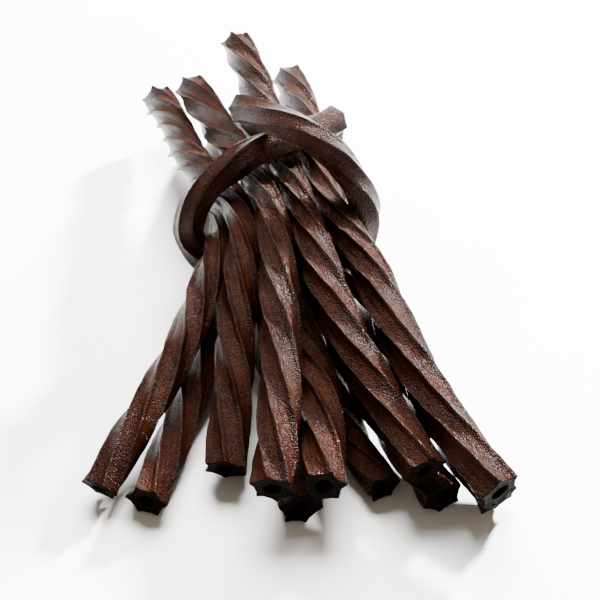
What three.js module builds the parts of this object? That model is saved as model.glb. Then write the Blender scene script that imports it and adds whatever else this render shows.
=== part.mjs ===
// A bundle of chocolate liquorice twists held together by one more twist knotted round its middle.
// Millimetres. +Z is up, the bundle lies along Y: the fanned ends are at -Y, the ends behind the tie at +Y.
import * as THREE from "three";

// Sizes of one twist
const RIBS = 6;
const RIB_RADIUS = 6.7; // middle of the bore to the crest of a rib
const FACE_RADIUS = 5.0; // middle of the bore to the middle of a face between two ribs
const BORE_RADIUS = 2.4;
const BORE_OVAL = 0.1; // share by which the bore is longer one way
const TWIST_LENGTH = 200; // unless a twist gives its own
const FLARE = 0.05; // how much wider the ends are where they were cut
const FLARE_LENGTH = 4;
const SWELL = 0.01; // slow swelling and thinning along the length
const SWELL_PITCH = 47;
const LEAD = 118; // length in which the ribs go once round, left-handed
const RIB_UNEVEN = 0.05; // how much lower a low rib is
const RIB_SHIFT = 0.06; // radians by which a rib stands off its even place

// Sizes of the tie and of the waist that it squeezes
const TIE_RIB_RADIUS = 5.4;
const TIE_FACE_RADIUS = 4.5;
const TIE_BORE_RADIUS = 1.9;
const WAIST_SQUEEZE = 0.24;
const WAIST_LENGTH = 24;

// How the twists come to rest against each other
const NODES = 52; // places along each twist that are pushed apart
const CLEARANCE = 0.1;
const SETTLE_STEPS = 260;
const SETTLE_RATE = 0.5;
const SMOOTHING = 0.25;
const SMOOTHING_PASSES = 2;
const OWN_REACH = 10; // places of one twist nearer than this along it never push each other

// How finely the surfaces are cut
const STATIONS = 36;
const BORE_EVERY = 2; // stations to one step of the bore
const SPLINE_SAMPLES = 2000;
const SEED = 20261;
const SEED_STEP = 977; // from one twist to the next
const DRAW_FACTOR = 48271;
const DRAW_MODULUS = 2147483647;

// The course of each twist: cut end towards the viewer, places on the way, the middle under the tie, far end.
// hold: how firmly it keeps its place while the others are pushed aside. lead: at the cut end and at the middle.
// size: its thickness against the full one.
const TWISTS = [
  {
    name: "twist_a",
    hold: 20,
    size: 0.89,
    lead: [150, 110],
    phase: 33,
    course: [
      [-58.5, -95, 6.5],
      [-45.3, -70, 17],
      [-37.3, -51.5, 21.5],
      [-31.4, -30.5, 25],
      [-26, 0, 28.5],
      [-28.6, 20, 22],
      [-31, 40, 17],
      [-30.5, 98, 6.7],
    ],
  },
  {
    name: "twist_b",
    hold: 6,
    size: 0.93,
    lead: [150, 110],
    phase: 32,
    course: [
      [-44.6, -99.7, 6.5],
      [-38.5, -76, 6.8],
      [-34.5, -57, 7],
      [-28, -34.5, 9.5],
      [-18.4, 0, 21],
      [-18.3, 20, 14.5],
      [-18, 40, 9],
      [-15, 97, 6.7],
    ],
  },
  {
    name: "twist_c",
    hold: 20,
    length: 200.5,
    lead: [180, 85],
    phase: 6,
    course: [
      [-22, -88.5, 8],
      [-20.5, -66.5, 15],
      [-19.5, -34, 27],
      [-20, 0, 37.5],
      [-35.4, 32.8, 31.5],
      [-48.1, 75.6, 21],
      [-56.4, 99.7, 16],
    ],
  },
  {
    name: "twist_d",
    hold: 30,
    lead: [130, 130],
    phase: 48,
    course: [
      [-7.7, -105.1, 18],
      [-6.7, -90, 22],
      [-5.9, -75, 25.5],
      [-6.3, -41, 34.5],
      [-11, 0, 42.2],
      [-23.9, 39, 34.5],
      [-37.7, 77.2, 30],
      [-42, 87, 29.5],
    ],
  },
  {
    name: "twist_e",
    hold: 4,
    lead: [LEAD, LEAD],
    phase: 44,
    course: [
      [0.4, -102.5, 6.5],
      [-6, -60, 6.7],
      [-8, -35, 8],
      [-8.2, 0, 20.3],
      [-6.2, 20, 15],
      [-5, 40, 9.5],
      [-1.5, 96, 6.7],
    ],
  },
  {
    name: "twist_f",
    hold: 12,
    lead: [LEAD, LEAD],
    phase: 20,
    course: [
      [6.5, -105, 19],
      [4, -57, 19],
      [-0.3, -43.3, 20],
      [-11, 0, 31.8],
      [-13.2, 20, 27.7],
      [-15.5, 40, 23.5],
      [-20, 92, 19.3],
    ],
  },
  {
    name: "twist_g",
    hold: 6,
    size: 0.84,
    lead: [LEAD, LEAD],
    phase: 30,
    course: [
      [26, -93.5, 6.5],
      [17, -73, 6.2],
      [12, -55, 6.2],
      [5.5, -35, 7.7],
      [2, 0, 18.5],
      [5.5, 20, 14],
      [8.5, 40, 9.5],
      [12, 92, 6.7],
    ],
  },
  {
    name: "twist_h",
    hold: 30,
    length: 204,
    size: 0.95,
    lead: [200, 100],
    phase: 16,
    course: [
      [36.3, -98.5, 18.5],
      [28, -81.5, 23],
      [11.4, -47, 35],
      [-0.5, 0, 42.2],
      [-9.3, 36, 41],
      [-15, 61, 42.5],
      [-24, 92.5, 45],
    ],
  },
  {
    name: "twist_i",
    hold: 6,
    size: 0.96,
    lead: [LEAD, LEAD],
    phase: 6,
    course: [
      [41.7, -98, 6.5],
      [32.8, -81.5, 7.5],
      [23.3, -65, 12.3],
      [17.5, -52, 15.5],
      [10.8, -35, 19.5],
      [0, 0, 31.8],
      [-0.8, 20, 28.4],
      [-1.5, 40, 25],
      [-6.3, 70, 20],
      [-6.6, 93, 19],
    ],
  },
  {
    name: "twist_j",
    hold: 30,
    length: 206,
    lead: [260, 130],
    phase: 48,
    course: [
      [55.3, -108.2, 20],
      [39.3, -78.5, 25.5],
      [26.8, -47, 33],
      [19.3, -23, 37],
      [9.8, 0, 39.5],
      [4.2, 36, 38],
      [-5, 87, 34],
    ],
  },
  {
    name: "twist_k",
    hold: 5,
    length: 184,
    size: 0.95,
    lead: [LEAD, LEAD],
    phase: 52,
    course: [
      [56.4, -100, 6.5],
      [42, -77, 13.3],
      [31.2, -57, 18],
      [24, -35, 22],
      [15.5, -15, 25.3],
      [9, 0, 26.5],
      [11.3, 20, 25.5],
      [12, 40, 23.5],
      [7.5, 70, 21],
    ],
  },
];

// The tie: from its upper end over the top, down the right side, under the bundle, up the left side
// and under its own start to its other end.
const TIE = {
  name: "tie",
  hold: 30,
  lead: [150, 150],
  phase: 9,
  course: [
    [-19.8, 26.9, 58.6],
    [-14.9, 20.5, 61.6],
    [-8.1, 11.6, 64.1],
    [-1.9, 5.8, 65],
    [3.8, 2, 63.7],
    [9.6, 1.8, 58.5],
    [15.4, -0.2, 51.5],
    [19.1, -0.6, 45],
    [21.4, -1.3, 36],
    [20.6, -1.1, 28],
    [18.5, -3.5, 20],
    [12.5, -6, 12],
    [3, -8, 7.5],
    [-8, -8, 7.5],
    [-20, -6, 8.8],
    [-31, -1, 14.5],
    [-37, 4, 21],
    [-36.8, 2.2, 30],
    [-34.4, 1.8, 37],
    [-29.3, 3.6, 43.5],
    [-23.3, 6.4, 47.8],
    [-18.7, 9, 50],
    [-14.1, 11.7, 51.2],
    [-8.2, 14.4, 52],
    [1.7, 23.4, 50.8],
    [12.4, 35, 48],
  ],
};

// A run of numbers between 0 and 1 that is the same every time
function randomRun(seed) {
  let state = seed;
  return () => {
    state = (state * DRAW_FACTOR) % DRAW_MODULUS;
    return state / DRAW_MODULUS;
  };
}

// Solves the second derivatives of a natural cubic spline at its knots, for one coordinate
function knotBends(knots, values) {
  const last = knots.length - 1;
  const upper = new Array(last + 1).fill(0);
  const right = new Array(last + 1).fill(0);
  for (let i = 1; i < last; i++) {
    const before = knots[i] - knots[i - 1];
    const after = knots[i + 1] - knots[i];
    const slopes = (values[i + 1] - values[i]) / after - (values[i] - values[i - 1]) / before;
    const pivot = 2 * (before + after) - before * upper[i - 1];
    upper[i] = after / pivot;
    right[i] = (6 * slopes - before * right[i - 1]) / pivot;
  }
  const bends = new Array(last + 1).fill(0);
  for (let i = last - 1; i > 0; i--) bends[i] = right[i] - upper[i] * bends[i + 1];
  return bends;
}

// Lengths along a row of points, from its first
function lengthsAlong(points) {
  const lengths = [0];
  for (let i = 1; i < points.length; i++) lengths.push(lengths[i - 1] + points[i].distanceTo(points[i - 1]));
  return lengths;
}

// Points at even lengths along a row of points, up to a length that may run straight on past its end
function evenly(points, count, length) {
  const row = [...points];
  const lengths = lengthsAlong(row);
  const drawn = lengths[lengths.length - 1];
  if (length > drawn) {
    const end = row[row.length - 1];
    const onward = end.clone().sub(row[row.length - 2]).normalize();
    row.push(end.clone().addScaledVector(onward, length - drawn));
    lengths.push(length);
  }
  const result = [];
  let k = 0;
  for (let i = 0; i < count; i++) {
    const s = (length * i) / (count - 1);
    while (k < row.length - 2 && lengths[k + 1] < s) k++;
    const share = Math.min(1, (s - lengths[k]) / (lengths[k + 1] - lengths[k]));
    result.push(row[k].clone().lerp(row[k + 1], share));
  }
  return result;
}

// The natural cubic spline through points, as a fine row of points
function splineThrough(points) {
  const knots = lengthsAlong(points);
  const axes = ["x", "y", "z"].map((axis) => {
    const values = points.map((p) => p[axis]);
    return { values, bends: knotBends(knots, values) };
  });
  const end = knots[knots.length - 1];
  const fine = [];
  let k = 0;
  for (let i = 0; i < SPLINE_SAMPLES; i++) {
    const u = (end * i) / (SPLINE_SAMPLES - 1);
    while (k < knots.length - 2 && knots[k + 1] <= u) k++;
    const step = knots[k + 1] - knots[k];
    const a = knots[k + 1] - u;
    const b = u - knots[k];
    const at = axes.map(
      ({ values, bends }) =>
        (bends[k] * a ** 3 + bends[k + 1] * b ** 3) / (6 * step) +
        (values[k] / step - (bends[k] * step) / 6) * a +
        (values[k + 1] / step - (bends[k + 1] * step) / 6) * b,
    );
    fine.push(new THREE.Vector3(...at));
  }
  return fine;
}

// Even points on the spline through a course, cut or run on to a length
function along(course, count, length) {
  const fine = splineThrough(course);
  const lengths = lengthsAlong(fine);
  return evenly(fine, count, length || lengths[lengths.length - 1]);
}

// How much of its width a twist keeps at a distance from the tie
const waist = (y) => 1 - WAIST_SQUEEZE * Math.exp(-((y / WAIST_LENGTH) ** 2));

// Pushes the places of all the twists apart until neighbours only touch, and evens out what each moved
function settle(rows) {
  const places = [];
  rows.forEach((row, owner) =>
    row.nodes.forEach((start, index) =>
      places.push({
        owner,
        index,
        start,
        at: start.clone(),
        give: 1 / row.hold,
        radius: row.isTie ? TIE_RIB_RADIUS : RIB_RADIUS * row.size * waist(start.y),
        push: new THREE.Vector3(),
        contacts: 0,
      }),
    ),
  );
  const between = new THREE.Vector3();
  for (let step = 0; step < SETTLE_STEPS; step++) {
    for (const p of places) {
      p.push.set(0, 0, 0);
      p.contacts = 0;
    }
    for (let i = 0; i < places.length; i++) {
      const p = places[i];
      for (let j = i + 1; j < places.length; j++) {
        const q = places[j];
        if (p.owner === q.owner && q.index - p.index <= OWN_REACH) continue;
        between.subVectors(p.at, q.at);
        const distance = between.length();
        const over = p.radius + q.radius + CLEARANCE - distance;
        if (over <= 0) continue;
        between.multiplyScalar(over / distance / (p.give + q.give));
        p.push.addScaledVector(between, p.give);
        q.push.addScaledVector(between, -q.give);
        p.contacts++;
        q.contacts++;
      }
    }
    for (const p of places) {
      p.at.addScaledVector(p.push, SETTLE_RATE / Math.max(1, Math.sqrt(p.contacts)));
      p.at.z = Math.max(p.at.z, p.radius);
    }
    for (let pass = 0; pass < SMOOTHING_PASSES; pass++) {
      const moved = places.map((p) => p.at.clone().sub(p.start));
      places.forEach((p, i) => {
        const before = moved[p.index > 0 ? i - 1 : i];
        const after = moved[p.index < NODES - 1 ? i + 1 : i];
        const shift = before.clone().add(after).addScaledVector(moved[i], -2);
        p.at.copy(p.start).add(moved[i]).addScaledVector(shift, SMOOTHING);
      });
    }
  }
  rows.forEach((row, owner) => {
    row.settled = places.filter((p) => p.owner === owner).map((p) => p.at);
  });
}

// The way along a path and two directions square to it, carried along without turning
function framesOf(path) {
  const side = new THREE.Vector3(0, 0, 1);
  return path.map((at, i) => {
    const before = path[Math.max(0, i - 1)];
    const after = path[Math.min(path.length - 1, i + 1)];
    const way = after.clone().sub(before).normalize();
    side.addScaledVector(way, -side.dot(way)).normalize();
    return { at, up: side.clone(), across: way.clone().cross(side) };
  });
}

// The angle that the ribs have turned through at a length: the lead goes from one value to the other by the middle
function turned(s, length, lead) {
  const half = length / 2;
  const rate = 1 / lead[0];
  const gain = 1 / lead[1] - rate;
  const inside = Math.min(s, half);
  return -2 * Math.PI * (rate * s + (gain * inside ** 2) / (2 * half) + gain * (s - inside));
}

// The solid of one twist: ribbed outside, bore through it, two cut ends
function twistGeometry(row) {
  const fine = splineThrough(row.settled);
  const lengths = lengthsAlong(fine);
  const length = lengths[lengths.length - 1];
  const draw = randomRun(SEED + row.number * SEED_STEP);
  const ribs = [];
  for (let k = 0; k < RIBS; k++) {
    ribs.push({
      shift: RIB_SHIFT * (2 * draw() - 1),
      height: 1 - RIB_UNEVEN * draw(),
    });
  }
  const swellStart = 2 * Math.PI * draw();
  const ribRadius = row.isTie ? TIE_RIB_RADIUS : RIB_RADIUS * row.size;
  const faceRadius = row.isTie ? TIE_FACE_RADIUS : FACE_RADIUS * row.size;
  const boreRadius = row.isTie ? TIE_BORE_RADIUS : BORE_RADIUS * row.size;
  const frames = framesOf(evenly(fine, STATIONS + 1, length));
  const positions = [];
  const place = (frame, radius, angle) => {
    const p = frame.at.clone();
    p.addScaledVector(frame.up, radius * Math.cos(angle));
    p.addScaledVector(frame.across, radius * Math.sin(angle));
    positions.push(p.x, p.y, p.z);
  };
  const widths = [];
  const turns = [];
  frames.forEach((frame, i) => {
    const s = (length * i) / STATIONS;
    const ends = Math.exp(-((s / FLARE_LENGTH) ** 2)) + Math.exp(-(((length - s) / FLARE_LENGTH) ** 2));
    const swell = 1 + SWELL * Math.sin((2 * Math.PI * s) / SWELL_PITCH + swellStart);
    widths.push((1 + FLARE * ends) * swell * (row.isTie ? 1 : waist(frame.at.y)));
    turns.push((row.phase * Math.PI) / 180 + turned(s, length, row.lead));
  });
  frames.forEach((frame, i) => {
    for (let k = 0; k < RIBS; k++) {
      const ribAngle = (2 * Math.PI * k) / RIBS + turns[i];
      place(frame, ribRadius * ribs[k].height * widths[i], ribAngle + ribs[k].shift);
      place(frame, faceRadius * widths[i], ribAngle + Math.PI / RIBS);
    }
  });
  const boreStart = positions.length / 3;
  for (let i = 0; i <= STATIONS; i += BORE_EVERY) {
    for (let k = 0; k < RIBS; k++) {
      const angle = (2 * Math.PI * (k + 0.5)) / RIBS;
      const radius = boreRadius * (1 + BORE_OVAL * Math.cos(2 * angle)) * widths[i];
      place(frames[i], radius, angle + turns[i]);
    }
  }
  const faces = [];
  const around = 2 * RIBS;
  for (let i = 0; i < STATIONS; i++) {
    for (let j = 0; j < around; j++) {
      const a = i * around + j;
      const b = i * around + ((j + 1) % around);
      faces.push(a, b, a + around, b, b + around, a + around);
    }
  }
  const boreSteps = STATIONS / BORE_EVERY;
  for (let i = 0; i < boreSteps; i++) {
    for (let k = 0; k < RIBS; k++) {
      const a = boreStart + i * RIBS + k;
      const b = boreStart + i * RIBS + ((k + 1) % RIBS);
      faces.push(a, a + RIBS, b, b, a + RIBS, b + RIBS);
    }
  }
  const cap = (outer, bore, facesOn) => {
    for (let k = 0; k < RIBS; k++) {
      const next = (k + 1) % RIBS;
      const face = outer + 2 * k + 1;
      const rib = outer + 2 * next;
      const nextFace = outer + 2 * next + 1;
      const here = bore + k;
      const there = bore + next;
      const three = [
        [here, face, rib],
        [here, rib, there],
        [there, rib, nextFace],
      ];
      for (const [a, b, c] of three) {
        if (facesOn) faces.push(a, b, c);
        else faces.push(a, c, b);
      }
    }
  };
  cap(0, boreStart, false);
  cap(STATIONS * around, boreStart + boreSteps * RIBS, true);
  const geometry = new THREE.BufferGeometry();
  geometry.setAttribute("position", new THREE.Float32BufferAttribute(positions, 3));
  geometry.setIndex(faces);
  geometry.computeVertexNormals();
  return geometry;
}

function chocolate() {
  return new THREE.MeshStandardMaterial({ color: 0x4a281b, roughness: 0.38, metalness: 0 });
}

// The bundle: courses, settling, solids
function bundle() {
  const rows = [...TWISTS, TIE].map((spec, number) => ({
    ...spec,
    number,
    isTie: spec === TIE,
    size: spec.size || 1,
    nodes: along(
      spec.course.map((p) => new THREE.Vector3(...p)),
      NODES,
      spec === TIE ? undefined : spec.length || TWIST_LENGTH,
    ),
  }));
  settle(rows);
  const group = new THREE.Group();
  for (const row of rows) {
    const mesh = new THREE.Mesh(twistGeometry(row), chocolate());
    mesh.name = row.name;
    group.add(mesh);
  }
  return group;
}

// Rests the lowest point on z = 0 and puts the middle of the outline over the origin
function centred(group) {
  const box = new THREE.Box3().setFromObject(group, true);
  const middle = box.getCenter(new THREE.Vector3());
  for (const mesh of group.children) {
    mesh.geometry.translate(-middle.x, -middle.y, -box.min.z);
  }
  return group;
}

export default centred(bundle());
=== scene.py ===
# %% [markdown]
# # A bundle of chocolate liquorice twists
#
# Eleven ribbed, hollow twists lie side by side, fanned out towards the viewer, and one more
# twist is knotted round their middle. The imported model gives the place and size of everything.
# This lesson builds the finely ribbed surfaces that take the place of its plain solids.

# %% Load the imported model
import math

import bpy
import numpy as np
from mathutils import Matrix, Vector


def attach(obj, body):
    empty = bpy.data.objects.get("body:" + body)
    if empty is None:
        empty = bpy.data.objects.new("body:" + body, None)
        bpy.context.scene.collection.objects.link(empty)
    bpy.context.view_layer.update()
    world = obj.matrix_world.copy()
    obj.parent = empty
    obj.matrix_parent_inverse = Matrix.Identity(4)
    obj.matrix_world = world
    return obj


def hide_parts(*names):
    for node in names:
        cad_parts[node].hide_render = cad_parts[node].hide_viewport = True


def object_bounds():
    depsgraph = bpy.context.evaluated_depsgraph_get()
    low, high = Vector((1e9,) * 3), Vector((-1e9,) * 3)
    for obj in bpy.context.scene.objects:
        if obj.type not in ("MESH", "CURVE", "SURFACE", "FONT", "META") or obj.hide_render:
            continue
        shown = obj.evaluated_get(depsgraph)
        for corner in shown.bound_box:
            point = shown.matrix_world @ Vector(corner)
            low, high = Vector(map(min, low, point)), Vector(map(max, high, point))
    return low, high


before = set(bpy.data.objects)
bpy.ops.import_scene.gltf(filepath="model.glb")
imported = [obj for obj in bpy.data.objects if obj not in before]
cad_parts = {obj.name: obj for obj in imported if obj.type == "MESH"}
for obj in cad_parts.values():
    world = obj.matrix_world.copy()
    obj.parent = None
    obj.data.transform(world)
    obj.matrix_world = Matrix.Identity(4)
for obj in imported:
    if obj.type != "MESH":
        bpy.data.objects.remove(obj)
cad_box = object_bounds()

MM = 0.001
print("nodes:", ", ".join(sorted(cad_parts)))

# %% [markdown]
# ## The sizes of a twist
#
# A twist is pressed through a star-shaped nozzle and turned as it leaves, so its six ribs run
# round it like the threads of a rope. These are the same named sizes as the solids have, in
# millimetres, so the two agree.

# %% Sizes
RIBS = 6
RIB_RADIUS = 6.7
FACE_RADIUS = 5.0
BORE_RADIUS = 2.4
BORE_OVAL = 0.1
TWIST_LENGTH = 200
FLARE = 0.05
FLARE_LENGTH = 4
SWELL = 0.01
SWELL_PITCH = 47
LEAD = 118
RIB_UNEVEN = 0.05
RIB_SHIFT = 0.06

TIE_RIB_RADIUS = 5.4
TIE_FACE_RADIUS = 4.5
TIE_BORE_RADIUS = 1.9
WAIST_SQUEEZE = 0.24
WAIST_LENGTH = 24

NODES = 52
CLEARANCE = 0.1
SETTLE_STEPS = 260
SETTLE_RATE = 0.5
SMOOTHING = 0.25
SMOOTHING_PASSES = 2
NEIGHBOUR_REACH = 40
OWN_REACH = 10
STATIONS = 36
SPLINE_SAMPLES = 2000
SEED = 20261
SEED_STEP = 977
DRAW_FACTOR = 48271
DRAW_MODULUS = 2147483647
print("thickest twist", 2 * RIB_RADIUS, "mm over its ribs,", TWIST_LENGTH, "mm long")

# %% [markdown]
# ## Where each twist runs
#
# A twist is soft, so it is drawn as a smooth curve through a few places: its cut end in front,
# one or more places on the way, the squeezed middle under the tie, and its far end. `hold` says
# how firmly it keeps its place when its neighbours push, `lead` is the length in which its ribs
# go round once, at the cut end and at the middle, and `phase` turns the ribs to where the
# photograph shows them. `size` is its thickness against the full one, and `length` its own
# length where that isn't the usual one.

# %% The courses of the twists
TWISTS = {
    "twist_a": dict(hold=20, lead=(150, 110), phase=33, size=0.89, course=[
        (-58.5, -95, 6.5), (-45.3, -70, 17), (-37.3, -51.5, 21.5), (-31.4, -30.5, 25), (-26, 0, 28.5),
        (-28.6, 20, 22), (-31, 40, 17), (-30.5, 98, 6.7)]),
    "twist_b": dict(hold=6, lead=(150, 110), phase=32, size=0.93, course=[
        (-44.6, -99.7, 6.5), (-38.5, -76, 6.8), (-34.5, -57, 7), (-28, -34.5, 9.5), (-18.4, 0, 21),
        (-18.3, 20, 14.5), (-18, 40, 9), (-15, 97, 6.7)]),
    "twist_c": dict(hold=20, lead=(180, 85), phase=6, length=200.5, course=[
        (-22, -88.5, 8), (-20.5, -66.5, 15), (-19.5, -34, 27), (-20, 0, 37.5), (-35.4, 32.8, 31.5),
        (-48.1, 75.6, 21), (-56.4, 99.7, 16)]),
    "twist_d": dict(hold=30, lead=(130, 130), phase=48, course=[
        (-7.7, -105.1, 18), (-6.7, -90, 22), (-5.9, -75, 25.5), (-6.3, -41, 34.5), (-11, 0, 42.2),
        (-23.9, 39, 34.5), (-37.7, 77.2, 30), (-42, 87, 29.5)]),
    "twist_e": dict(hold=4, lead=(LEAD, LEAD), phase=44, course=[
        (0.4, -102.5, 6.5), (-6, -60, 6.7), (-8, -35, 8), (-8.2, 0, 20.3), (-6.2, 20, 15),
        (-5, 40, 9.5), (-1.5, 96, 6.7)]),
    "twist_f": dict(hold=12, lead=(LEAD, LEAD), phase=20, course=[
        (6.5, -105, 19), (4, -57, 19), (-0.3, -43.3, 20), (-11, 0, 31.8), (-13.2, 20, 27.7),
        (-15.5, 40, 23.5), (-20, 92, 19.3)]),
    "twist_g": dict(hold=6, lead=(LEAD, LEAD), phase=30, size=0.84, course=[
        (26, -93.5, 6.5), (17, -73, 6.2), (12, -55, 6.2), (5.5, -35, 7.7), (2, 0, 18.5), (5.5, 20, 14),
        (8.5, 40, 9.5), (12, 92, 6.7)]),
    "twist_h": dict(hold=30, lead=(200, 100), phase=16, size=0.95, length=204, course=[
        (36.3, -98.5, 18.5), (28, -81.5, 23), (11.4, -47, 35), (-0.5, 0, 42.2), (-9.3, 36, 41),
        (-15, 61, 42.5), (-24, 92.5, 45)]),
    "twist_i": dict(hold=6, lead=(LEAD, LEAD), phase=6, size=0.96, course=[
        (41.7, -98, 6.5), (32.8, -81.5, 7.5), (23.3, -65, 12.3), (17.5, -52, 15.5), (10.8, -35, 19.5),
        (0, 0, 31.8), (-0.8, 20, 28.4), (-1.5, 40, 25), (-6.3, 70, 20), (-6.6, 93, 19)]),
    "twist_j": dict(hold=30, lead=(260, 130), phase=48, length=206, course=[
        (55.3, -108.2, 20), (39.3, -78.5, 25.5), (26.8, -47, 33), (19.3, -23, 37), (9.8, 0, 39.5),
        (4.2, 36, 38), (-5, 87, 34)]),
    "twist_k": dict(hold=5, lead=(LEAD, LEAD), phase=52, size=0.95, length=184, course=[
        (56.4, -100, 6.5), (42, -77, 13.3), (31.2, -57, 18), (24, -35, 22),
        (15.5, -15, 25.3), (9, 0, 26.5), (11.3, 20, 25.5), (12, 40, 23.5), (7.5, 70, 21)]),
}
TIE = dict(hold=30, lead=(150, 150), phase=9, course=[
    (-19.8, 26.9, 58.6), (-14.9, 20.5, 61.6), (-8.1, 11.6, 64.1), (-1.9, 5.8, 65), (3.8, 2, 63.7),
    (9.6, 1.8, 58.5), (15.4, -0.2, 51.5), (19.1, -0.6, 45), (21.4, -1.3, 36), (20.6, -1.1, 28),
    (18.5, -3.5, 20), (12.5, -6, 12), (3, -8, 7.5), (-8, -8, 7.5), (-20, -6, 8.8), (-31, -1, 14.5),
    (-37, 4, 21), (-36.8, 2.2, 30), (-34.4, 1.8, 37), (-29.3, 3.6, 43.5), (-23.3, 6.4, 47.8),
    (-18.7, 9, 50), (-14.1, 11.7, 51.2), (-8.2, 14.4, 52), (1.7, 23.4, 50.8), (12.4, 35, 48)])
ALL = {**TWISTS, "tie": TIE}
print(len(TWISTS), "twists and a tie")

# %% [markdown]
# ## A smooth curve through places
#
# A natural cubic spline bends as a thin springy strip held at the places would, which is close
# to how a soft sweet lies. Its bend at each place comes from one small system of equations.

# %% The spline and even points on it
def lengths_along(points):
    """Length from the first point to each point: the running sum of the steps between them."""
    steps = np.linalg.norm(np.diff(points, axis=0), axis=1)
    return np.concatenate([[0.0], np.cumsum(steps)])


def spline_through(points):
    """The natural cubic spline: on each span the place is a cubic whose second derivative runs
    straight from the bend at one place to the bend at the next, and is nought at both ends."""
    p = np.asarray(points, float)
    knots = lengths_along(p)
    span = np.diff(knots)
    count = len(p)
    system = np.eye(count)
    right = np.zeros((count, 3))
    inner = np.arange(1, count - 1)
    system[inner, inner - 1] = span[:-1]
    system[inner, inner] = 2 * (span[:-1] + span[1:])
    system[inner, inner + 1] = span[1:]
    slope = np.diff(p, axis=0) / span[:, None]
    right[1:-1] = 6 * np.diff(slope, axis=0)
    bend = np.linalg.solve(system, right)
    u = np.linspace(0, knots[-1], SPLINE_SAMPLES)
    k = np.clip(np.searchsorted(knots, u, side="right") - 1, 0, count - 2)
    a = (knots[k + 1] - u)[:, None]
    b = (u - knots[k])[:, None]
    h = span[k][:, None]
    cubic = (bend[k] * a**3 + bend[k + 1] * b**3) / (6 * h)
    return cubic + (p[k] / h - bend[k] * h / 6) * a + (p[k + 1] / h - bend[k + 1] * h / 6) * b


def evenly(points, count, length=None, at=None):
    """Points at even lengths, or at given lengths, along a row. One that is too short runs
    straight on."""
    s = lengths_along(points)
    length = length or s[-1]
    if length > s[-1]:
        onward = points[-1] - points[-2]
        onward = onward / np.linalg.norm(onward)
        points = np.concatenate([points, [points[-1] + onward * (length - s[-1])]])
        s = np.append(s, length)
    wanted = np.linspace(0, length, count) if at is None else at
    return np.stack([np.interp(wanted, s, points[:, axis]) for axis in range(3)], axis=1)


def waist(y):
    """Share of its width that a twist keeps: one less a bell curve centred on the tie."""
    return 1 - WAIST_SQUEEZE * np.exp(-((y / WAIST_LENGTH) ** 2))


# %% [markdown]
# ## Letting the twists come to rest
#
# Curves drawn through the given places run into each other. Real twists push each other aside
# until they only touch, so the same is done here: places that are too near move apart along the
# line between them, none sinks into the table, and each twist stays smooth. The solids were
# settled with the same steps, so both come to the same rest.

# %% Settle the twists
def settle(starts, radii, holds):
    """Repeated steps: each pair nearer than the sum of its radii is pushed apart by what is
    missing, shared by how easily each gives way; then each twist's move is smoothed along it."""
    count = len(starts)
    start = np.concatenate(starts)
    owner = np.repeat(np.arange(count), NODES)
    index = np.tile(np.arange(NODES), count)
    radius = np.concatenate(radii)
    give = 1 / np.repeat(np.asarray(holds, float), NODES)
    i, j = np.triu_indices(len(start), 1)
    near = np.linalg.norm(start[i] - start[j], axis=1) < NEIGHBOUR_REACH
    near &= (owner[i] != owner[j]) | (index[j] - index[i] > OWN_REACH)
    i, j = i[near], j[near]
    need = radius[i] + radius[j] + CLEARANCE
    total = give[i] + give[j]
    place = start.copy()
    for step in range(SETTLE_STEPS):
        between = place[i] - place[j]
        distance = np.linalg.norm(between, axis=1)
        over = np.clip(need - distance, 0, None)
        hit = over > 0
        force = between[hit] * (over[hit] / distance[hit] / total[hit])[:, None]
        push = np.zeros_like(place)
        for axis in range(3):
            push[:, axis] += np.bincount(i[hit], force[:, axis] * give[i[hit]], len(place))
            push[:, axis] -= np.bincount(j[hit], force[:, axis] * give[j[hit]], len(place))
        contacts = np.bincount(np.concatenate([i[hit], j[hit]]), minlength=len(place))
        place = place + push * (SETTLE_RATE / np.maximum(1, np.sqrt(contacts)))[:, None]
        place[:, 2] = np.maximum(place[:, 2], radius)
        moved = (place - start).reshape(count, NODES, 3)
        for _ in range(SMOOTHING_PASSES):
            ends = np.concatenate([moved[:, :1], moved, moved[:, -1:]], axis=1)
            moved = moved + SMOOTHING * (ends[:, 2:] + ends[:, :-2] - 2 * moved)
        place = start + moved.reshape(-1, 3)
    return place.reshape(count, NODES, 3)


starts = []
for name, spec in ALL.items():
    own_length = None if name == "tie" else spec.get("length", TWIST_LENGTH)
    starts.append(evenly(spline_through(spec["course"]), NODES, own_length))
radii = [np.full(NODES, TIE_RIB_RADIUS) if name == "tie"
         else RIB_RADIUS * ALL[name].get("size", 1) * waist(s[:, 1])
         for name, s in zip(ALL, starts)]
holds = [spec["hold"] for spec in ALL.values()]
settled = dict(zip(ALL, settle(starts, radii, holds)))
moved = {name: np.linalg.norm(settled[name] - s, axis=1).max() for name, s in zip(ALL, starts)}
print("moved most, mm:", {name: round(float(most), 1) for name, most in moved.items()})

# %% [markdown]
# ## Directions along a twist
#
# The ribs need two directions square to the curve at each place. They are carried along from
# the first place and only straightened, never turned, so all the turning comes from the lead.

# %% Frames and the turning of the ribs
def frames_of(path):
    """Two directions square to the way along: the first is the one before it, less its part
    along the way, and the second is the cross product of the way and the first."""
    padded = np.concatenate([path[:1], path, path[-1:]])
    way = padded[2:] - padded[:-2]
    way = way / np.linalg.norm(way, axis=1)[:, None]
    up = np.empty_like(path)
    side = np.array([0.0, 0.0, 1.0])
    for k, w in enumerate(way):
        side = side - w * (side @ w)
        side = side / np.linalg.norm(side)
        up[k] = side
    return up, np.cross(way, up)


def turned(s, length, lead):
    """Angle that the ribs have gone round: the sum of turns per length, which changes evenly from
    the cut end's to the middle's over the first half and then stays."""
    half = length / 2
    rate = 1 / lead[0]
    gain = 1 / lead[1] - rate
    inside = np.minimum(s, half)
    return -2 * np.pi * (rate * s + gain * inside**2 / (2 * half) + gain * (s - inside))


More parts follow.
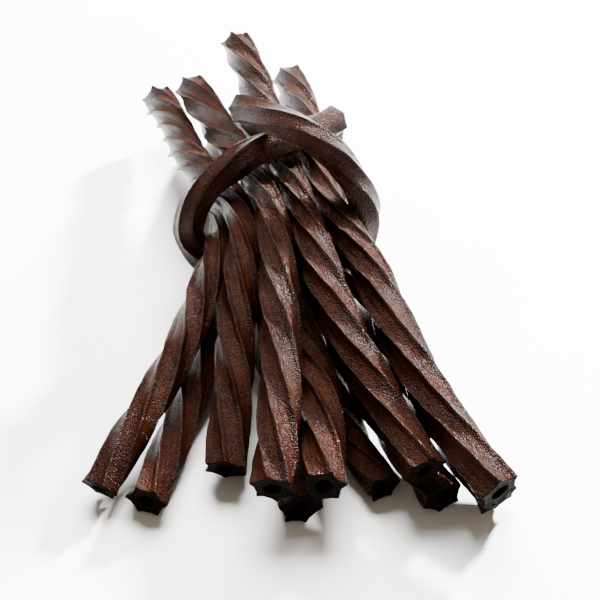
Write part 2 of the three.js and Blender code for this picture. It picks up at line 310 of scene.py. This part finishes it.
def random_run(seed):
    """Numbers between 0 and 1: the last whole number times the factor, less whole turns of the
    modulus, over the modulus."""
    state = seed
    while True:
        state = state * DRAW_FACTOR % DRAW_MODULUS
        yield state / DRAW_MODULUS


# %% [markdown]
# ## What sets one twist off from another
#
# No two twists are alike: each rib stands a little off its place and is a little lower or
# higher. The first draws are those of the solids. The later ones give the fine waviness that
# only this surface shows.

# %% One twist's own character
class Character:
    """Named draws of one twist, the widths along it and the turning of its ribs."""

    def __init__(self, number, name, spec):
        draw = random_run(SEED + number * SEED_STEP)
        self.tie = name == "tie"
        self.phase = math.radians(spec["phase"])
        self.lead = spec["lead"]
        ribs = [(RIB_SHIFT * (2 * next(draw) - 1), 1 - RIB_UNEVEN * next(draw))
                for _ in range(RIBS)]
        self.shift, self.height = np.array(ribs).T
        self.swell_start = 2 * np.pi * next(draw)
        size = spec.get("size", 1)
        self.rib, self.face, self.bore = (
            (TIE_RIB_RADIUS, TIE_FACE_RADIUS, TIE_BORE_RADIUS) if self.tie
            else [radius * size for radius in (RIB_RADIUS, FACE_RADIUS, BORE_RADIUS)])
        self.waves = np.array([[next(draw) for _ in range(4)] for _ in range(RIBS)])
        self.tilt = np.array([[next(draw), next(draw)] for _ in range(2)])
        self.fine = spline_through(settled[name])
        self.length = lengths_along(self.fine)[-1]

    def widths(self, s, y):
        """Share of full width: one plus a bell curve at each cut end, times a slow sine that
        swells it, times the squeeze at the tie."""
        near_end = np.exp(-((s / FLARE_LENGTH) ** 2))
        far_end = np.exp(-(((self.length - s) / FLARE_LENGTH) ** 2))
        ends = near_end + far_end
        swell = 1 + SWELL * np.sin(2 * np.pi * s / SWELL_PITCH + self.swell_start)
        return (1 + FLARE * ends) * swell * (1 if self.tie else waist(y))


characters = {name: Character(number, name, spec)
              for number, (name, spec) in enumerate(ALL.items())}
print("lengths, mm:", {name: round(float(c.length), 1) for name, c in characters.items()})

# %% [markdown]
# ## Matching the solids' place
#
# The solids were moved so that their box stands in the middle of the table at height nought.
# Working out the same coarse points gives that same move, which the camera needs as well.

# %% The move from the drawing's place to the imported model's
def coarse_points(c):
    """The solids' outer points: rib crests and mid-faces at even stations."""
    s = np.linspace(0, c.length, STATIONS + 1)
    path = evenly(c.fine, STATIONS + 1)
    up, across = frames_of(path)
    width = c.widths(s, path[:, 1])[:, None]
    turn = (c.phase + turned(s, c.length, c.lead))[:, None]
    even = 2 * np.pi * np.arange(RIBS) / RIBS
    angle = np.concatenate([even + c.shift + turn, even + np.pi / RIBS + turn], axis=1)
    radius = np.concatenate([c.rib * c.height * width, np.full(RIBS, c.face) * width], axis=1)
    return (path[:, None] + (radius * np.cos(angle))[..., None] * up[:, None]
            + (radius * np.sin(angle))[..., None] * across[:, None]).reshape(-1, 3)


cloud = np.concatenate([coarse_points(c) for c in characters.values()])
low, high = cloud.min(axis=0), cloud.max(axis=0)
MOVE = np.array([-(low[0] + high[0]) / 2, -(low[1] + high[1]) / 2, -low[2]])
packed_size = np.array(cad_box[1]) - np.array(cad_box[0])
print("solids measure", (high - low).round(2), "mm, packed box", packed_size.round(5), "m")

# %% [markdown]
# ## The camera
#
# The photograph is taken to look down at the bundle by 41 degrees, from about half a metre
# away, with the fanned ends nearest. A frame 600 points wide with a focal length of 1370 points
# is a lens of 82.2 mm on a 36 mm sensor.

# %% The camera
ELEVATION = math.radians(41)
EYE = np.array([0, -360.6, 310.8])
FRAME_POINTS = 600
FOCAL_POINTS = 1370
SENSOR = 36
lens = bpy.data.cameras.new("camera")
lens.lens = FOCAL_POINTS / FRAME_POINTS * SENSOR
lens.sensor_width = SENSOR
lens.clip_start = 0.01
camera = bpy.data.objects.new("camera", lens)
camera.location = (EYE + MOVE) * MM
camera.rotation_euler = (math.pi / 2 - ELEVATION, 0, 0)
bpy.context.collection.objects.link(camera)
bpy.context.scene.camera = camera
print("lens, mm:", round(lens.lens, 1))

# %% [markdown]
# ## The cross-section
#
# Between ribs the surface is a nearly flat face; a rib is a narrow fin with a crisp crest.
# Columns of points crowd together at the crests, where the shape turns sharply. A cross-section
# is sampled at the same columns all the way along, so each crest stays one clean line.

# %% Columns and the star-shaped section
FIN = 0.44  # share of the half-space between ribs that a fin's foot takes up
FIN_TOP = 0.05  # share that its rounded top takes up
FIN_POWER = 1.3  # how hollow the flanks of a fin are
TOP_ROUNDING = 0.12
# A crest rises and falls by three waves: height in mm, shortest pitch and what a draw adds to it
CREST_WAVES = ((0.08, 11, 9), (0.04, 4.2, 3), (0.12, 31, 11))
TIE_WAVE_SHARE = 0.7
# A rib wanders sideways by two waves: angle, shortest pitch and what a draw adds to it
RIB_WANDER = ((0.045, 37, 13), (0.02, 9, 5))
side = np.array([0.04, 0.08, 0.15, 0.24, 0.34, 0.44, 0.60, 0.80])
column = np.concatenate([[-1], -side[::-1], [0], side])  # -1 and 1 are mid-faces, 0 is the crest
between = np.abs(column)
print(len(column) * RIBS, "columns")


def waves(kinds, s, pitches, starts):
    """Sum of sines along the length: each has its height, its pitch, and a share of a turn at
    the start."""
    return sum(height * np.sin(2 * np.pi * (s / (pitch + more * draw) + start))
               for (height, pitch, more), draw, start in zip(kinds, pitches, starts))


def section(c, width, s):
    """Radius at each column: a flat face, which is its nearest distance over the cosine, plus a fin
    that rises from its foot to its top as a power of the nearness and is rounded there. Crests
    wave along the length."""
    flat = c.face / np.cos((1 - between) * np.pi / RIBS)
    nearness = np.clip((FIN - between) / (FIN - FIN_TOP), 0, 1) ** FIN_POWER
    rounding = TOP_ROUNDING * np.clip(between / FIN_TOP, 0, 1) ** 2 * (between < FIN)
    rows = []
    for k in range(RIBS):
        a, b, d, e = c.waves[k]
        wave = waves(CREST_WAVES, s, (a, d, b), (b, e, d))
        top = (c.rib * c.height[k] + wave * (TIE_WAVE_SHARE if c.tie else 1))[:, None]
        rows.append(flat[None] + (top - flat[None]) * nearness[None] - (rounding * nearness)[None])
    return np.concatenate(rows, axis=1) * width[:, None]


def column_angles(c, s):
    """Angle at each column, from the middle of one face over the crest to the next: ribs stand off
    their even places by their own shift and wander slightly along the length."""
    half = np.pi / RIBS
    rows = []
    for k in range(RIBS):
        a, b, d, e = c.waves[k]
        wander = waves(RIB_WANDER, s, (e, b), (a, e))
        lean = (c.shift[k] + wander)[:, None] * np.clip(1 - between, 0, 1)[None]
        rows.append(2 * np.pi * k / RIBS + half * column[None] + lean)
    return np.concatenate(rows, axis=1)


# %% [markdown]
# ## One closed surface for each twist
#
# A twist is one sheet of points that closes on itself both ways: along the ribbed outside, over
# the cut at the far end, back through the bore and over the near cut. A share from 1, on the
# ribbed outside, to 0, on the wall of the bore, says how far out a row stands.

# %% Rows, points and faces
OUTER_ROWS = 300
BORE_ROWS = 40
CUT_SHARES = np.array([0.97, 0.85, 0.6, 0.35, 0.12])
EDGE = 0.35  # the outside's last row stands this far in from the cut
BORE_EDGE = 1.2
FRAME_ROWS = 800
CUT_SLANT = 0.09
CUT_DISH = 0.35
SLANT_REACH = 3  # length over which a slanting cut bends the rows behind it


def rows_of(length):
    """Length along and share outwards of every row, round the whole sheet."""
    outer = np.linspace(EDGE, length - EDGE, OUTER_ROWS)
    bore = np.linspace(length - BORE_EDGE, BORE_EDGE, BORE_ROWS)
    cut = np.full(len(CUT_SHARES), 0.0)
    s = np.concatenate([outer, cut + length, bore, cut])
    share = np.concatenate(
        [np.ones(OUTER_ROWS), CUT_SHARES, np.zeros(BORE_ROWS), CUT_SHARES[::-1]])
    return s, share


def sheet_points(c):
    """Points of the closed sheet: the path plus a radius along two square directions, where the
    radius runs from the oval bore to the ribbed section by the row's share. The cuts slant
    and are dished by half a sine."""
    s, share = rows_of(c.length)
    path = evenly(c.fine, 0, at=s)
    up_even, across_even = frames_of(evenly(c.fine, FRAME_ROWS + 1))
    pick = s / c.length * FRAME_ROWS
    low_row = np.clip(pick.astype(int), 0, FRAME_ROWS - 1)
    mix = (pick - low_row)[:, None]
    up = up_even[low_row] * (1 - mix) + up_even[low_row + 1] * mix
    across = across_even[low_row] * (1 - mix) + across_even[low_row + 1] * mix
    way = np.cross(up, across)
    width = c.widths(s, path[:, 1])
    turn = (c.phase + turned(s, c.length, c.lead))[:, None]
    angle = column_angles(c, s) + turn
    outer = section(c, width, s)
    bore_angle = angle - turn
    bore = c.bore * (1 + BORE_OVAL * np.cos(2 * bore_angle)) * width[:, None]
    radius = bore + (outer - bore) * share[:, None]
    end = np.where(s > c.length / 2, 1, 0)
    slant = CUT_SLANT * (2 * c.tilt[end] - 1)
    on_cut = (s <= 0) | (s >= c.length)
    reach = np.where(s > c.length / 2, c.length - s, s)
    follow = np.exp(-reach / SLANT_REACH)[:, None]
    lift = follow * radius * (slant[:, :1] * np.cos(angle) + slant[:, 1:] * np.sin(angle))
    inwards = np.where(end, -1, 1)
    dish = (np.where(on_cut, CUT_DISH * np.sin(np.pi * share), 0) * inwards)[:, None]
    along = lift + dish
    points = (path[:, None] + (radius * np.cos(angle))[..., None] * up[:, None]
              + (radius * np.sin(angle))[..., None] * across[:, None]
              + along[..., None] * way[:, None])
    return points, s, share


def sheet_faces(rows, columns):
    """Four-cornered faces between neighbouring rows and columns: the row and the column after
    the last are the first again."""
    r = np.arange(rows)[:, None]
    k = np.arange(columns)[None]
    here = r * columns + k
    right = r * columns + (k + 1) % columns
    above = ((r + 1) % rows) * columns + k
    across = ((r + 1) % rows) * columns + (k + 1) % columns
    return np.stack([here, right, across, above], axis=-1).reshape(-1, 4)


print(OUTER_ROWS + BORE_ROWS + 2 * len(CUT_SHARES), "rows of points to a twist")


# %% [markdown]
# ## Shading written as sums
#
# A material is a small graph of nodes. Wrapping a socket in a class that knows plus, minus and
# times lets the graph be written as ordinary sums, which read better than a list of links.

# %% A socket that can be reckoned with
class Wire:
    """An output of a material's node graph. Sums on it add Math nodes."""

    def __init__(self, tree, socket=None):
        self.tree = tree
        self.socket = socket

    def node(self, kind, settings=None, inputs=None, out=0):
        """Adds any node: its settings first, then numbers, colours or wires for its sockets."""
        made = self.tree.nodes.new(kind)
        for key, value in (settings or {}).items():
            setattr(made, key, value)
        for key, value in (inputs or {}).items():
            if isinstance(value, Wire):
                self.tree.links.new(value.socket, made.inputs[key])
            else:
                made.inputs[key].default_value = value
        return Wire(self.tree, made.outputs[out]) if len(made.outputs) else None

    def sum_with(self, operation, first, second):
        return self.node("ShaderNodeMath", {"operation": operation}, {0: first, 1: second})

    def __add__(self, other):
        return self.sum_with("ADD", self, other)

    __radd__ = __add__

    def __mul__(self, other):
        return self.sum_with("MULTIPLY", self, other)

    __rmul__ = __mul__

    def __sub__(self, other):
        return self.sum_with("SUBTRACT", self, other)

    def __rsub__(self, other):
        return self.sum_with("SUBTRACT", other, self)

    def __pow__(self, other):
        return self.sum_with("POWER", self, other)

    def between(self, low, high):
        """0 at low, 1 at high, smooth between."""
        return self.node("ShaderNodeMapRange", {"interpolation_type": "SMOOTHSTEP"},
                         {"Value": self, "From Min": low, "From Max": high})

    def colours(self, dark, light):
        """A colour between two, by this wire: each is three numbers or a wire."""
        first, second = (end if isinstance(end, Wire) else (*end, 1) for end in (dark, light))
        return self.node("ShaderNodeMix", {"data_type": "RGBA"}, {0: self, 6: first, 7: second},
                         out=2)

    def noise(self, place, scale, detail, roughness=0.5):
        """Soft cloudy noise at a place: scale in clouds to a unit of it."""
        return self.node("ShaderNodeTexNoise", None, {
            "Vector": place, "Scale": scale, "Detail": detail, "Roughness": roughness})

    def bumps(self, height, strength, depth):
        """Directions of a surface that a height between 0 and 1 lifts by at most a depth."""
        return self.node("ShaderNodeBump", None, {
            "Strength": strength, "Distance": depth, "Height": height})


# %% [markdown]
# ## The chocolate finish
#
# The outside is glossy and finely pebbled, so a highlight breaks into sparkles. Its own brown is
# a red-brown in the hollows between the ribs, with faint streaks along the ribs from the nozzle.
# Light and shade are painted over it as well: the flanks of each fin are painted darker as
# painted shade beside the crest, and the crests a paler brown as a painted highlight. The sheet
# carries two values for this: how near a point is to a crest, and a place in millimetres round
# and along the twist. The cuts show the torn, matte inside, painted much darker than the outside
# as painted shade on faces turned from the lamps and inside the bore. A very low specular level
# keeps the dark brown from turning grey under soft light.

# %% Starting and ending a material
def new_material(name):
    """A material with an empty graph, and the wire that adds to it."""
    material = bpy.data.materials.new(name)
    material.use_nodes = True
    tree = material.node_tree
    tree.nodes.clear()
    return material, Wire(tree)


def finish_surface(wire, colour, roughness, normal, **plain):
    """Ends a material: one Principled shader, its plain numbers set on its own sockets."""
    inputs = {"Base Color": colour, "Roughness": roughness, "Normal": normal, **plain}
    shader = wire.node("ShaderNodeBsdfPrincipled", None, inputs)
    wire.node("ShaderNodeOutputMaterial", None, {"Surface": shader})


# %% Glossy ribbed chocolate
HOLLOW_BROWN = ((0.0082, 0.0017, 0.00055), (0.021, 0.0050, 0.0017))  # darkest and lightest
# Painted highlight: the crests take this paler brown for the light that catches them.
CREST_HIGHLIGHT_BROWN = ((0.0135, 0.0037, 0.0014), (0.027, 0.0084, 0.0036))
# Painted shade: the flanks beside each crest darken towards this nearly black brown.
FLANK_SHADE_BROWN = (0.0030, 0.0007, 0.0003)
BLOTCHES, GRAINS, PEBBLES = 85.0, 2700.0, 2000.0  # to a metre
STREAKS = (0.9, 0.05, 1.0)  # to a millimetre, round and along the twist
PEBBLE_DEPTH = 0.00065


def glossy_chocolate():
    """The ribbed outside."""
    material, wire = new_material("glossy chocolate liquorice")
    place = wire.node("ShaderNodeTexCoord", None, None, out="Object")
    crest = wire.node("ShaderNodeAttribute", {"attribute_name": "crest"}, None, out="Fac")
    around = wire.node("ShaderNodeUVMap", {"uv_map": "around"}, None)
    blotch = wire.noise(place, BLOTCHES, 3.0)
    grain = wire.noise(place, GRAINS, 1.0)
    pebble = wire.node("ShaderNodeTexVoronoi", {"feature": "SMOOTH_F1"},
                       {"Vector": place, "Scale": PEBBLES, "Smoothness": 0.4}, out="Distance")
    stretched = wire.node("ShaderNodeVectorMath", {"operation": "MULTIPLY"}, {0: around, 1: STREAKS})
    streak = wire.noise(stretched, 1.0, 4.0, 0.6)
    tone = blotch * 0.5 + streak * 0.5
    hollow = tone.between(0.35, 0.65).colours(*HOLLOW_BROWN)
    # A painted highlight on the crests and painted shade on the fin flanks, by how near a point is to
    # a crest.
    crest_highlight = tone.between(0.35, 0.65).colours(*CREST_HIGHLIGHT_BROWN)
    flank_shade = crest * (1 - crest) * 4
    colour = (flank_shade * 0.55).colours((crest ** 2).colours(hollow, crest_highlight), FLANK_SHADE_BROWN)
    bump = wire.bumps(pebble * 0.55 + grain * 0.45 + streak * 0.35, 1.0, PEBBLE_DEPTH)
    roughness = 0.13 + grain.between(0.35, 0.7) * 0.06 + (1 - blotch.between(0.3, 0.6)) * 0.04
    finish_surface(wire, colour, roughness, bump, **{"Specular IOR Level": 0.032})
    return material


# %% Torn chocolate
# Painted shade: the cut faces and the bore are much darker than the outside, for the shade on faces
# turned from the lamps and inside the bore; their matte, torn look is their own.
SHADED_CUT_BROWN = ((0.0008, 0.0003, 0.00015), (0.0022, 0.0009, 0.0005))
CUT_BLOTCHES, TEARS = 260.0, 900.0
TEAR_DEPTH = 0.0003


def cut_chocolate():
    """The cut faces and the bore: matte and slightly torn, and painted darker as painted shade."""
    material, wire = new_material("cut chocolate liquorice")
    place = wire.node("ShaderNodeTexCoord", None, None, out="Object")
    torn = wire.noise(place, TEARS, 4.0, 0.65)
    blotch = wire.noise(place, CUT_BLOTCHES, 2.0)
    colour = blotch.between(0.35, 0.65).colours(*SHADED_CUT_BROWN)
    bump = wire.bumps(torn, 0.7, TEAR_DEPTH)
    finish_surface(wire, colour, 0.5 + torn * 0.2, bump, **{"Specular IOR Level": 0.012})
    return material


GLOSSY = glossy_chocolate()
CUT = cut_chocolate()
print("finishes:", GLOSSY.name, "and", CUT.name)

# %% [markdown]
# ## Making the pieces
#
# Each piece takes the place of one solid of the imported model. Its mesh is filled in one go from
# the arrays, and it carries the values that the finish reads.

# %% Build all twists
def make_piece(name, c):
    """The mesh of one twist with its two finishes: the cuts and the bore, where the share is
    below 1, take the second. Crest value: 1 at a crest, falling evenly to 0 at a fin's foot."""
    points, s, share = sheet_points(c)
    rows, columns = share.size, points.shape[1]
    faces = sheet_faces(rows, columns)
    mesh = bpy.data.meshes.new(name + "_surface")
    mesh.vertices.add(rows * columns)
    mesh.vertices.foreach_set("co", ((points + MOVE) * MM).ravel())
    mesh.loops.add(faces.size)
    mesh.loops.foreach_set("vertex_index", faces.ravel())
    mesh.polygons.add(len(faces))
    mesh.polygons.foreach_set("loop_start", np.arange(0, faces.size, 4))
    mesh.polygons.foreach_set("use_smooth", np.ones(len(faces), bool))
    row = np.repeat(np.arange(rows), columns)
    cut = (share[row] < 1) | (share[(row + 1) % rows] < 1)
    mesh.polygons.foreach_set("material_index", cut.astype(np.int32))
    crest = np.tile(np.clip(1 - between / FIN, 0, 1), RIBS)
    values = np.where(share[:, None] == 1, crest[None], 0).ravel()
    mesh.attributes.new("crest", "FLOAT", "POINT").data.foreach_set("value", values)
    layer = mesh.uv_layers.new(name="around")
    first_column = np.repeat(np.tile(np.arange(columns), rows), 4)
    corner_column = first_column + np.tile([0, 1, 1, 0], len(faces))
    corner_s = s[faces.ravel() // columns]
    u = corner_column / columns * 2 * np.pi * c.face
    layer.data.foreach_set("uv", np.stack([u, corner_s], axis=1).ravel())
    mesh.materials.append(GLOSSY)
    mesh.materials.append(CUT)
    mesh.update()
    mesh.validate()
    piece = bpy.data.objects.new(name + "_surface", mesh)
    bpy.context.collection.objects.link(piece)
    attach(piece, "root")
    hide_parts(name)
    return piece


pieces = {name: make_piece(name, c) for name, c in characters.items()}
print("faces:", sum(len(p.data.polygons) for p in pieces.values()))

# %% [markdown]
# ## Table and light
#
# The bundle lies on a plain, very pale table. Both lamps stand behind it, so shadows fall
# towards the viewer: a small one at the right gives the glints on the flanks that face it, and
# a wide one higher up the softer light. A weak warm sky all round fills the shadows.

# %% The table
TABLE_HALF = 3
TABLE_TONES = ((0.86, 0.845, 0.83), (0.9, 0.89, 0.88))


def pale_table():
    """A matte, nearly white surface with very faint clouds in it."""
    material, wire = new_material("pale table")
    place = wire.node("ShaderNodeTexCoord", None, None, out="Object")
    cloud = wire.noise(place, 9.0, 2.0)
    colour = cloud.between(0.3, 0.7).colours(*TABLE_TONES)
    finish_surface(wire, colour, 0.55, wire.bumps(cloud, 0.02, 0.0002))
    return material


floor_mesh = bpy.data.meshes.new("table")
corners = [(x * TABLE_HALF, y * TABLE_HALF, 0) for x, y in ((-1, -1), (1, -1), (1, 1), (-1, 1))]
floor_mesh.from_pydata(corners, [], [(0, 1, 2, 3)])
floor_mesh.materials.append(pale_table())
floor = bpy.data.objects.new("table", floor_mesh)
bpy.context.collection.objects.link(floor)
print("table", 2 * TABLE_HALF, "m wide")


# %% The lights
AIM = np.array([0, 0, 0.03])


def soft_light(name, place, size, power):
    """A square light of the given size, turned to face the middle of the bundle."""
    data = bpy.data.lights.new(name, "AREA")
    data.shape = "SQUARE"
    data.size = size
    data.energy = power
    light = bpy.data.objects.new(name, data)
    x, y, z = AIM - np.asarray(place, float)
    light.location = place
    light.rotation_euler = (math.atan2(math.hypot(x, y), -z), 0, math.atan2(y, x) - math.pi / 2)
    bpy.context.collection.objects.link(light)
    print(name, place, "m,", size, "m wide,", power, "W")


soft_light("back right light", place=(0.74, 0.96, 0.66), size=0.14, power=290)
soft_light("back top light", place=(0.0, 0.8, 1.2), size=1.0, power=165)

world = bpy.data.worlds.new("studio")
world.use_nodes = True
sky = world.node_tree.nodes["Background"]
sky.inputs["Color"].default_value = (1.0, 0.86, 0.70, 1)
sky.inputs["Strength"].default_value = 0.4
bpy.context.scene.world = world
